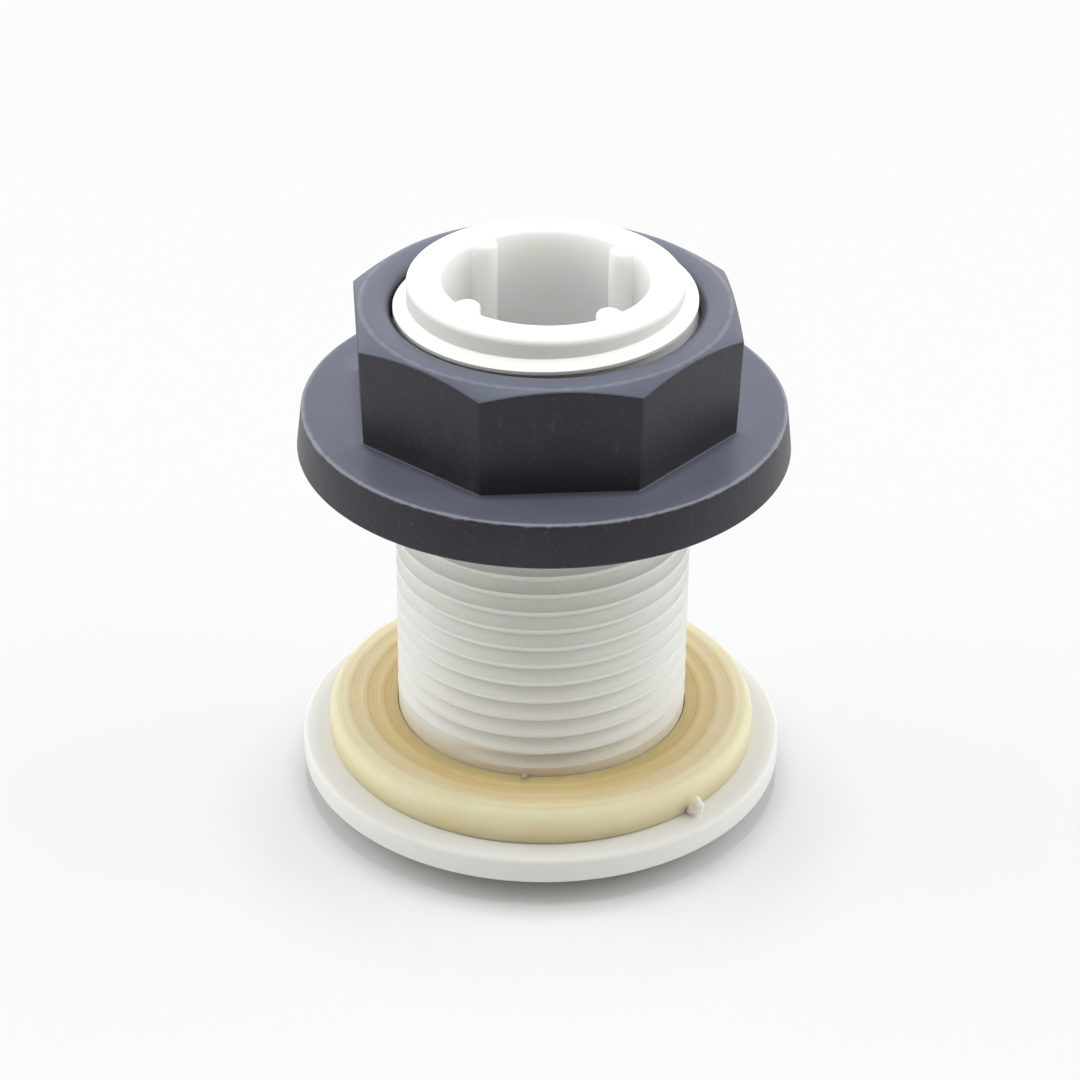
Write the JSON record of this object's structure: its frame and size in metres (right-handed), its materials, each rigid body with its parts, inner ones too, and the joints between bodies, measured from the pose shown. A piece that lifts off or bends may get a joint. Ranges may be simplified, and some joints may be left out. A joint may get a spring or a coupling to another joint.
{
  "type": "threaded drain fitting",
  "caption": "Flanged plastic tube with an outside pipe thread, a soft sealing washer and a flanged eight-sided back nut that clamps a tank wall.",
  "frame": {"origin": "centre of the flange's lower face, on the bore axis", "axes": "+Z along the bore axis, from the flange to the threaded end"},
  "size_m": [0.044, 0.044, 0.0507],
  "materials": {
    "white_plastic": "satin moulded plastic",
    "amber_rubber": "natural rubber, slightly translucent",
    "slate_plastic": "matt moulded plastic"
  },
  "bodies": {
    "fitting": {"threaded_body": "white_plastic", "sealing_washer": "amber_rubber"},
    "nut": {"back_nut": "slate_plastic"}
  },
  "joints": [
    {"name": "nut_travel", "type": "slide", "parent": "fitting", "child": "nut", "axis": [0, 0, 1], "range_m": [-0.0254, 0.0127]}
  ]
}
